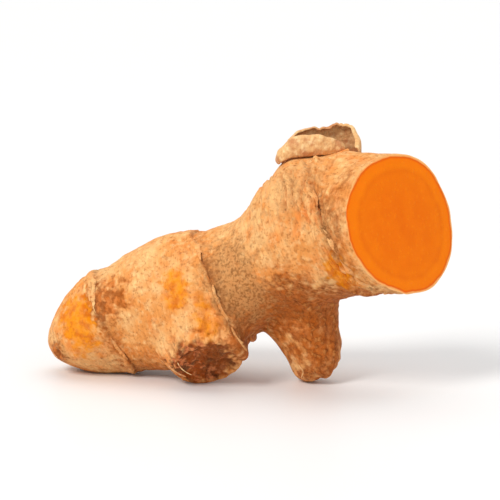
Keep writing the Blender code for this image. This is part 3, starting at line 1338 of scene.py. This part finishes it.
@dataclass
class Rootlets:
    """The few dry root fibres that are left on the root.

    sink is how deep a fibre starts in the skin and lowest how low it may hang above the floor, in mm. taper
    is how much thinner it gets towards its end, swelling and swells how uneven it is and how often, and aside
    any direction that none of them runs in.
    """

    rootlets: tuple[Rootlet, ...] = (
        Rootlet(24.5, 226.0, ((0.9, -0.7, -0.5), (2.4, -1.0, -1.4), (4.2, -0.9, -2.1)), radius=0.26),
        Rootlet(27.5, 216.0, ((0.8, -0.5, -0.9), (2.0, -0.7, -1.7), (3.2, -0.4, -2.3)), radius=0.12),
        Rootlet(46.0, 262.0, ((0.3, -0.3, -1.0), (1.2, -0.6, -2.0), (1.0, -1.2, -3.2))),
        Rootlet(57.0, 20.0, ((0.2, 0.9, 0.4), (0.9, 1.3, 1.3))),
        Rootlet(33.5, 330.0, ((-0.3, 1.0, -0.4), (-0.2, 1.4, -1.6), (0.6, 1.5, -2.6))),
    )
    sink: float = 0.4
    lowest: float = 0.05
    taper: float = 0.55
    swelling: float = 0.25
    swells: float = 17.0
    aside: Triple = (0.31, 0.22, 0.93)

    def build(self, body: "RootBody", finish: bpy.types.Material) -> None:
        """Makes every fibre and joins them into one piece.

        Args:
            body: The root with its relief.
            finish: Finish of the fibres.
        """
        tubes = []
        for rootlet in self.rootlets:
            near = body.spots.nearest(np.array([rootlet.station]), np.radians([rootlet.angle]))[0]
            foot = body.spots.place[near] - self.sink * body.spots.normal[near]
            knots = [foot] + [foot + np.array(step) for step in rootlet.path]
            tubes.append(self.fibre(smooth_path(knots, samples=8), rootlet.radius))
        settle(join_pieces(tubes, "rootlets"), finish)

    def fibre(self, line: np.ndarray, radius: float) -> bpy.types.Object:
        """A tube with round ends along a line, thinner towards its end.

        Args:
            line: Its points in mm.
            radius: Its radius at the foot in mm.

        Returns:
            The tube.
        """
        tube = new_primitive(bpy.ops.mesh.primitive_uv_sphere_add, "rootlet",
                             segments=8, ring_count=28, radius=1.0)
        x, y, z = read_rows(tube.data.vertices, "co").T
        share = (1.0 - z) / 2.0
        width, turn = np.hypot(x, y), np.arctan2(y, x)
        ahead = unit(np.gradient(line, axis=0))
        side = unit(np.cross(ahead, self.aside))
        raised = np.cross(side, ahead)
        uneven = 1.0 + self.swelling * np.sin(self.swells * share)
        thick = radius * (1.0 - self.taper * share) * width**0.3 * uneven
        spoke = np.cos(turn)[:, None] * read_along(side, share)
        spoke += np.sin(turn)[:, None] * read_along(raised, share)
        points = read_along(line, share) + thick[:, None] * spoke
        points[:, 2] = np.maximum(points[:, 2], self.lowest)
        write_points(tube.data, points)
        write_values(tube.data, "grain", np.stack([share * 4.0, x, y], 1))
        write_values(tube.data, "edge", np.full_like(share, 0.5))
        shade_smooth(tube)
        return tube


@dataclass
class RootBody:
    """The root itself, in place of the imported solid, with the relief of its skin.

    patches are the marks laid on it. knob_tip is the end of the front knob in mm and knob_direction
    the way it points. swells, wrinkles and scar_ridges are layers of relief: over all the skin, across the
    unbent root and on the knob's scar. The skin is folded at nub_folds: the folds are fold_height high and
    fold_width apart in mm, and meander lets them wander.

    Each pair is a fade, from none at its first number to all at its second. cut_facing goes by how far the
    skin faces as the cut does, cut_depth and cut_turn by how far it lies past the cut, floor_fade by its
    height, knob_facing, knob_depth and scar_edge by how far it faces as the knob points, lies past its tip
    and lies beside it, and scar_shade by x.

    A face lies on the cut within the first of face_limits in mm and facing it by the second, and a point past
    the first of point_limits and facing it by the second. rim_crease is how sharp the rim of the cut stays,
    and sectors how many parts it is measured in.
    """

    axis: RootAxis
    nub: NubPlace
    name: str = "root_body"
    rings: tuple[LeafScar, ...] = (
        LeafScar(station=14.8, facing=240.0, lean=0.5, crease=0.42, lip=0.25, folds=0.12, reach=3.0),
        LeafScar(station=37.6, facing=215.0, lean=2.2, crease=0.60, lip=0.52, folds=0.14, reach=3.0,
                 fade=((0.0, 0.9), (100.0, 0.8), (128.0, 1.1), (150.0, 1.6), (180.0, 1.6), (195.0, 1.0),
                       (300.0, 0.9))),
        LeafScar(station=53.0, facing=200.0, lean=1.5, crease=0.10, lip=0.05, folds=0.14, reach=5.0),
        LeafScar(station=69.8, facing=250.0, lean=5.2, crease=0.62, lip=0.42, folds=0.46, reach=3.4,
                 fade=((0.0, 0.5), (60.0, 0.2), (110.0, 0.0), (134.0, 0.35), (146.0, 1.5), (158.0, 1.5),
                       (165.0, 0.3), (172.0, 0.5), (182.0, 1.1), (240.0, 1.0), (300.0, 0.5))),
    )
    patches: dict[Mark, tuple[Patch, ...]] = field(
        default_factory=lambda: {
            Mark.RUBBED: (
                Patch(station=10.2, angle=161.0, along=4.2, around=7.2, strength=1.1),
                Patch(station=32.0, angle=162.0, along=3.3, around=5.0, fray=0.35, strength=1.1),
                Patch(station=36.0, angle=196.0, along=2.4, around=5.5, strength=0.7),
                Patch(station=70.6, angle=217.0, along=5.0, around=5.5, strength=0.95),
                Patch(station=25.0, angle=48.0, along=3.6, around=5.5, strength=0.95),
                Patch(station=57.5, angle=8.0, along=3.0, around=5.0, strength=0.9),
            ),
            Mark.BRUISE: (
                Patch(station=15.4, angle=155.0, along=2.2, around=5.4, fray=0.9, strength=1.2),
                Patch(station=18.2, angle=149.0, along=4.0, around=4.0, fray=0.9, strength=0.85),
                Patch(station=3.0, angle=196.0, along=2.0, around=2.8, fray=0.6, strength=0.9),
                Patch(station=40.6, angle=28.0, along=2.2, around=6.5, fray=0.9, strength=0.85),
                Patch(station=16.5, angle=345.0, along=2.2, around=5.5, fray=0.9, strength=0.8),
                Patch(station=15.0, angle=205.0, along=2.0, around=6.0, fray=0.7, strength=0.6),
                Patch(station=75.5, angle=168.0, along=3.4, around=12.0, fray=0.6, strength=0.62),
            ),
            Mark.GRIME: (
                Patch(station=44.5, angle=178.0, along=7.5, around=11.0, fray=0.5),
                Patch(station=73.2, angle=188.0, along=2.6, around=8.5, fray=0.5, strength=0.9),
                Patch(station=65.0, angle=130.0, along=7.0, around=10.0, fray=0.9, strength=0.42),
                Patch(station=45.5, angle=342.0, along=6.5, around=8.0, fray=0.6, strength=0.8),
                Patch(station=67.0, angle=35.0, along=6.0, around=9.0, fray=0.9, strength=0.5),
                Patch(station=3.6, angle=192.0, along=2.2, around=3.0, fray=0.4),
            ),
            Mark.RUSSET: (
                Patch(station=48.5, angle=228.0, along=15.0, around=9.5, fray=0.5),
                Patch(station=52.0, angle=224.0, along=5.0, around=5.0, fray=0.5, strength=1.3),
                # The two long patches along the underside darken the bottom of the root: partly reddish-brown
                # skin, partly painted shade under it.
                Patch(station=60.0, angle=262.0, along=18.0, around=11.0, fray=0.5),
                Patch(station=28.0, angle=262.0, along=20.0, around=9.0, fray=0.5, strength=0.6),
                Patch(station=65.0, angle=325.0, along=7.0, around=8.0, fray=0.6, strength=0.7),
            ),
            # The two patches near the top are painted highlight; the one at the back is paler skin.
            Mark.CREAM: (
                Patch(station=62.0, angle=118.0, along=7.0, around=9.0, fray=0.6),
                Patch(station=25.0, angle=112.0, along=8.0, around=5.0, fray=0.6, strength=0.7),
                Patch(station=30.0, angle=15.0, along=6.0, around=9.0, fray=0.6, strength=0.8),
            ),
        }
    )
    knob_tip: Triple = (-5.2, -9.4, 5.7)
    knob_direction: Triple = (0.40, -0.74, -0.54)
    knob_facing: Pair = (0.15, 0.55)
    knob_depth: Pair = (-5.0, -3.0)
    scar_edge: Pair = (7.6, 5.0)
    scar_shade: Pair = (-6.5, -1.0)
    swells: tuple[Swell, ...] = (
        Swell(height=0.34, size=7.0, seed=11.0),
        Swell(height=0.15, size=2.6, seed=17.0),
    )
    wrinkles: tuple[Swell, ...] = (
        Swell(height=0.09, size=0.9, seed=31.0, squeeze=(1.0, 0.12, 0.12)),
        Swell(height=0.15, size=2.4, seed=37.0, squeeze=(1.0, 0.2, 0.2)),
    )
    scar_ridges: Swell = Swell(height=0.45, size=1.0, seed=47.0, squeeze=(0.5, 1.0, 1.0))
    nub_folds: Patch = Patch(station=64.5, angle=128.0, along=6.5, around=11.0)
    fold_height: float = 0.44
    fold_width: float = 2.1
    meander: Swell = Swell(height=1.7, size=3.6, seed=41.0)
    cut_facing: Pair = (0.90, 0.97)
    cut_depth: Pair = (-0.8, -0.4)
    cut_turn: Pair = (-2.5, -0.3)
    floor_fade: Pair = (0.0, 1.2)
    face_limits: Pair = (0.6, 0.95)
    point_limits: Pair = (-0.9, 0.3)
    rim_crease: float = 0.8
    sectors: int = 120
    spots: Spots = field(init=False)
    root_scars: tuple[RootScar, ...] = (
        RootScar(station=3.4, angle=190.0, radius=1.1, rim=0.22, pit=0.45),
        RootScar(station=53.5, angle=226.0, radius=0.6),
        RootScar(station=22.0, angle=236.0),
        RootScar(station=46.0, angle=318.0),
        RootScar(station=60.5, angle=262.0),
        RootScar(station=18.5, angle=40.0, radius=0.7),
        RootScar(station=57.0, angle=20.0),
        RootScar(station=34.0, angle=350.0, radius=0.9),
    )

    def build(self, skin: bpy.types.Material, flesh: bpy.types.Material) -> bpy.types.Object:
        """Makes the body.

        Args:
            skin: Finish of the skin.
            flesh: Finish of the cut.

        Returns:
            The finished piece.
        """
        body = self.merged_copy()
        cut = self.find_cut(body.data)
        body.data.materials.clear()
        body.data.materials.append(skin)
        body.data.materials.append(flesh)
        body.data.polygons.foreach_set("material_index", cut.astype(np.int32))
        self.sharpen_rim(body.data, cut)
        apply_modifier(body, "SUBSURF", levels=2, render_levels=2)
        self.add_relief(body.data)
        only_select(body)
        bpy.ops.object.shade_smooth_by_angle(angle=math.radians(50.0))
        settle(body)
        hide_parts(NODE)
        return body

    def merged_copy(self) -> bpy.types.Object:
        """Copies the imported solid, with its loose triangles merged and joined to four-sided faces.

        Returns:
            The copy.
        """
        body = bpy.data.objects.new(self.name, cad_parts[NODE].data.copy())
        body.data.name = self.name
        bpy.context.scene.collection.objects.link(body)
        only_select(body)
        bpy.ops.mesh.customdata_custom_splitnormals_clear()
        bpy.ops.object.mode_set(mode="EDIT")
        bpy.ops.mesh.select_all(action="SELECT")
        bpy.ops.mesh.remove_doubles(threshold=0.01 * MM)
        bpy.ops.mesh.tris_convert_to_quads(face_threshold=math.radians(50.0),
                                           shape_threshold=math.radians(60.0))
        bpy.ops.object.mode_set(mode="OBJECT")
        for layer in list(body.data.uv_layers):
            body.data.uv_layers.remove(layer)
        return body

    def find_cut(self, mesh: bpy.types.Mesh) -> np.ndarray:
        """Finds the faces of the cut.

        Args:
            mesh: The mesh of the root.

        Returns:
            Whether each face lies on the cut.
        """
        centre, normal = self.axis.place[-1], self.axis.cut_normal
        gap, turned = self.face_limits
        found = []
        for face in mesh.polygons:
            above = (np.array(face.center) / MM - centre) @ normal
            found.append(abs(above) < gap and np.array(face.normal) @ normal > turned)
        return np.array(found)

    def sharpen_rim(self, mesh: bpy.types.Mesh, cut: np.ndarray) -> None:
        """Creases the edges between the cut and the skin.

        Args:
            mesh: The mesh of the root.
            cut: Whether each face lies on the cut.
        """
        sides: dict[tuple[int, int], int] = {}
        for face, flag in zip(mesh.polygons, cut):
            for key in face.edge_keys:
                sides[key] = sides.get(key, 0) + int(flag)
        crease = mesh.attributes.new("crease_edge", "FLOAT", "EDGE")
        for edge in mesh.edges:
            crease.data[edge.index].value = self.rim_crease if sides[edge.key] == 1 else 0.0

    def add_relief(self, mesh: bpy.types.Mesh) -> None:
        """Moves the points of the skin by its relief, and stores the marks that its finish reads.

        Args:
            mesh: The mesh of the root, already fine.
        """
        points, normals = read_points(mesh), read_normals(mesh)
        spots = Spots(points, normals, *self.axis.locate(points))
        above = (points - self.axis.place[-1]) @ self.axis.cut_normal
        facing = normals @ self.axis.cut_normal
        rough = lumps(points, 1.4, seed=3.1, octaves=3)
        scar = self.scar_mask(spots, rough)
        relief, painted_shade = self.relief(spots, rough, scar)
        on_cut = ease(*self.cut_facing, facing) * ease(*self.cut_depth, above)
        relief = relief * (1.0 - on_cut) * ease(*self.floor_fade, points[:, 2])
        moved = points + relief[:, None] * self.relief_direction(spots, above)
        moved[:, 2] = np.maximum(moved[:, 2], 0.0)
        moved = self.nub.lowered(moved)
        write_points(mesh, moved)
        self.spots = replace(spots, place=moved, normal=read_normals(mesh))

        for mark, patches in self.patches.items():
            masks = [patch.mask(spots, rough) for patch in patches]
            write_values(mesh, mark.value, np.maximum(np.max(masks, axis=0), 0.0))
        write_values(mesh, Mark.SCAR.value, scar)
        # Painted shade inside the nub's collar.
        write_values(mesh, Mark.HOLLOW.value, self.nub.hollow_shade_mask(moved))
        # Painted shade in the creases, pits and folds and on the scar's lower right.
        write_values(mesh, Mark.CREASE.value, np.clip(painted_shade, 0.0, 1.0))
        write_values(mesh, "heart", self.heart(moved, above, facing))
        write_values(mesh, "grain", spots.straight)

    def relief(self, spots: Spots, rough: np.ndarray, scar: np.ndarray) -> tuple[np.ndarray, np.ndarray]:
        """Works out the relief of all the skin.

        Args:
            spots: The points of the skin.
            rough: Fine noise at each.
            scar: How far the knob's scar shows at each.

        Returns:
            The relief in mm, and the painted shade in its creases, pits and folds and on the scar's lower
            right.
        """
        clear = self.nub.clear(spots.place)
        # crease here holds the painted shade of the rings' creases.
        relief, crease = self.ring_relief(spots)
        relief, crease = relief * clear, crease * clear
        relief += sum(layer.at(spots.place) for layer in self.swells)
        relief += sum(layer.at(spots.straight) for layer in self.wrinkles)
        relief += 0.55 * scar * rough - 0.5 * scar * (1.0 - scar) - 0.35 * scar
        relief += scar * self.scar_ridges.at(spots.place)
        folds = clear * self.nub_folds.mask(spots, rough)
        waves = np.sin(math.tau * (spots.station + self.meander.at(spots.place)) / self.fold_width)
        relief += self.fold_height * folds * waves
        pits, painted_shade = self.root_scar_relief(spots)
        # Painted shade on the scar's lower right and in the valleys of the folds by the nub.
        painted_shade += 0.8 * scar * ease(*self.scar_shade, spots.place[:, 0]) + 0.4 * folds * ease(-0.5, -1.0, waves)
        return relief + pits, crease + painted_shade

    def relief_direction(self, spots: Spots, above: np.ndarray) -> np.ndarray:
        """Works out the way that the relief stands.

        Args:
            spots: The points of the skin.
            above: How far each lies past the cut, in mm.

        Returns:
            A unit vector for each: its normal, and near the cut the way along the cut.
        """
        normal = self.axis.cut_normal
        near_cut = ease(*self.cut_turn, above)[:, None]
        outward = self.axis.outward(np.clip(spots.station, 0.0, self.axis.length), spots.angle)
        outward = unit(outward - (outward @ normal)[:, None] * normal)
        return unit(spots.normal * (1.0 - near_cut) + outward * near_cut)

    def scar_mask(self, spots: Spots, rough: np.ndarray) -> np.ndarray:
        """Finds the scarred end of the front knob.

        Args:
            spots: The points of the skin.
            rough: Noise that frays the scar's edge.

        Returns:
            How far the scar shows at each point.
        """
        direction = unit(np.array(self.knob_direction))
        gap = spots.place - np.array(self.knob_tip)
        sideways = np.linalg.norm(gap - (gap @ direction)[:, None] * direction, axis=1)
        facing = ease(*self.knob_facing, spots.normal @ direction)
        near = ease(*self.knob_depth, gap @ direction)
        return ease(*self.scar_edge, sideways + 1.6 * rough) * facing * near

    def ring_relief(self, spots: Spots) -> tuple[np.ndarray, np.ndarray]:
        """Works out the relief of all the leaf scars.

        Args:
            spots: The points of the skin.

        Returns:
            The relief in mm, and the painted shade in and just past the creases.
        """
        relief = np.zeros(len(spots.station))
        painted_shade = np.zeros(len(spots.station))
        waver = lumps(spots.place, 3.2, seed=5.0)
        strength = 0.75 + 0.5 * lumps(spots.place, 5.0, seed=23.0)
        for ring in self.rings:
            gap = spots.station - ring.place(spots.angle) + 0.35 * waver
            shown = strength * ring.share(spots.angle)
            groove = hump(gap - 0.55, 0.42)
            relief += shown * (ring.lip * hump(gap + 0.3, 0.7) - ring.crease * groove)
            folded = np.cos(math.tau * (gap + 1.6 * waver) / 1.7) * hump(gap, ring.reach)
            relief += ring.folds * folded * (0.6 + 0.8 * strength) * 0.6
            # Painted shade in the groove and in a band just past it.
            shade = groove + 0.4 * hump(gap - 1.6, 1.1)
            painted_shade = np.maximum(painted_shade, shade * np.clip(shown, 0.0, 1.5) * min(ring.crease / 0.5, 1.0))
        return relief, painted_shade

    def root_scar_relief(self, spots: Spots) -> tuple[np.ndarray, np.ndarray]:
        """Works out the relief of the round root scars.

        Args:
            spots: The points of the skin.

        Returns:
            The relief in mm, and the painted shade in the pits.
        """
        relief = np.zeros(len(spots.station))
        painted_shade = np.zeros(len(spots.station))
        for scar in self.root_scars:
            reach = np.hypot(*spots.offset(scar.station, math.radians(scar.angle)))
            pit = hump(reach, 0.6 * scar.radius)
            relief += scar.rim * hump(reach - scar.radius, 0.45) - scar.pit * pit
            # Painted shade in the pit.
            painted_shade = np.maximum(painted_shade, 0.8 * pit)
        return relief, painted_shade

    def heart(self, points: np.ndarray, above: np.ndarray, facing: np.ndarray) -> np.ndarray:
        """Works out how far each point of the cut lies from its middle.

        Args:
            points: Rows of x, y and z in mm.
            above: How far each lies past the cut, in mm.
            facing: How far each faces as the cut does.

        Returns:
            The share of the way from the middle of the cut to its rim, and 1 away from the cut.
        """
        centre, normal = self.axis.place[-1], self.axis.cut_normal
        level = unit(np.cross(UP, normal))
        spoke = points - centre
        across, up = spoke @ level, spoke @ np.cross(normal, level)
        turn, reach = np.arctan2(up, across), np.hypot(across, up)
        least, turned = self.point_limits
        on_face = (above > least) & (facing > turned)
        edges = np.linspace(-math.pi, math.pi, self.sectors + 1)
        middles, rim = [], []
        for low, high in zip(edges, edges[1:]):
            inside = on_face & (turn >= low) & (turn < high)
            if inside.any():
                middles.append((low + high) / 2)
                rim.append(reach[inside].max())
        limit = np.interp(turn, middles, rim, period=math.tau)
        return np.where(on_face, np.clip(reach / limit, 0.0, 1.0), 1.0)


@dataclass(frozen=True)
class Sun:
    """A wide soft light that reaches all of the floor alike.

    side, towards and height are where it comes from: to the right as the camera sees it, from the camera's
    side, and from above, in any one unit. spread is the angle that it is wide in degrees, and power its
    strength in watts for each square metre.
    """

    name: str
    side: float
    towards: float
    height: float
    spread: float
    power: float
    colour: Triple = (1.0, 1.0, 1.0)


@dataclass
class Studio:
    """Plain pale floor, soft light and the camera: angles in degrees, the lens in mm, the rest in metres."""

    azimuth: float = 21.0
    elevation: float = 9.0
    distance: float = 0.45
    lens: float = 168.0
    nearest: float = 0.01
    aim: Triple = (0.0012, 0.0, 0.0257)
    floor_size: float = 8.0
    floor_colour: Colour = (0.86, 0.86, 0.86, 1.0)
    floor_roughness: float = 0.45
    sky_power: float = 0.57
    suns: tuple[Sun, ...] = (
        Sun("key", side=-0.55, towards=0.62, height=0.74, spread=22.0, power=1.9, colour=(1.0, 0.98, 0.95)),
        Sun("top", side=0.05, towards=-0.25, height=1.0, spread=60.0, power=1.0),
        Sun("cut", side=0.9, towards=0.8, height=0.35, spread=50.0, power=0.35),
    )
    back: Vector = field(init=False)
    right: Vector = field(init=False)

    def __post_init__(self) -> None:
        """Works out the camera's directions."""
        turn, rise = math.radians(self.azimuth), math.radians(self.elevation)
        level = math.cos(rise)
        self.back = Vector((math.sin(turn) * level, -math.cos(turn) * level, math.sin(rise)))
        self.right = Vector((math.cos(turn), math.sin(turn), 0.0))

    def build(self) -> None:
        """Sets up the floor, the lights, the sky and the camera."""
        self.add_floor()
        for sun in self.suns:
            self.add_sun(sun)
        self.add_sky()
        self.add_camera()
        bpy.context.scene.view_settings.view_transform = "Standard"

    def add_floor(self) -> None:
        """A wide pale floor."""
        floor = new_primitive(bpy.ops.mesh.primitive_plane_add, "floor",
                              size=self.floor_size, location=(0.0, 0.0, 0.0))
        material = bpy.data.materials.new("pale_floor")
        material.use_nodes = True
        shader = material.node_tree.nodes["Principled BSDF"]
        shader.inputs["Base Color"].default_value = self.floor_colour
        shader.inputs["Roughness"].default_value = self.floor_roughness
        floor.data.materials.append(material)

    def add_sun(self, sun: Sun) -> None:
        """Adds a light.

        Args:
            sun: What it is to be.
        """
        light = bpy.data.objects.new(sun.name, bpy.data.lights.new(sun.name, "SUN"))
        bpy.context.scene.collection.objects.link(light)
        level = Vector((self.back.x, self.back.y, 0.0)).normalized()
        light.location = self.right * sun.side + level * sun.towards + Vector((0.0, 0.0, sun.height))
        light.rotation_mode = "QUATERNION"
        light.rotation_quaternion = (-light.location).to_track_quat("-Z", "Y")
        light.data.angle = math.radians(sun.spread)
        light.data.energy = sun.power
        light.data.color = sun.colour

    def add_sky(self) -> None:
        """White light from all round."""
        world = bpy.data.worlds.new("soft_sky")
        bpy.context.scene.world = world
        world.use_nodes = True
        sky = world.node_tree.nodes["Background"]
        sky.inputs["Color"].default_value = WHITE
        sky.inputs["Strength"].default_value = self.sky_power

    def add_camera(self) -> None:
        """The camera at the photograph's viewing angle."""
        camera = bpy.data.objects.new("camera", bpy.data.cameras.new("camera"))
        bpy.context.scene.collection.objects.link(camera)
        camera.location = Vector(self.aim) + self.back * self.distance
        camera.rotation_mode = "QUATERNION"
        camera.rotation_quaternion = (-self.back).to_track_quat("-Z", "Y")
        camera.data.lens = self.lens
        camera.data.clip_start = self.nearest
        bpy.context.scene.camera = camera


def main() -> None:
    """Builds the pieces and the studio."""
    logging.basicConfig(level=logging.INFO, format="%(name)s: %(message)s")
    effects = SharedEffects()
    nub = NubPlace()
    skin, outside = SkinFinish().build(effects), PaperSide.OUTSIDE.value.build(effects)
    root = RootBody(RootAxis(), nub)
    body = root.build(skin, FleshFinish().build(effects))
    surface = BVHTree.FromObject(body, bpy.context.evaluated_depsgraph_get())
    NubScales(nub, surface).build(outside, PaperSide.INSIDE.value.build(effects))
    RingFlakes().build(root, skin)
    Rootlets().build(root, outside)
    Studio().build()


if __name__ == "__main__":
    main()
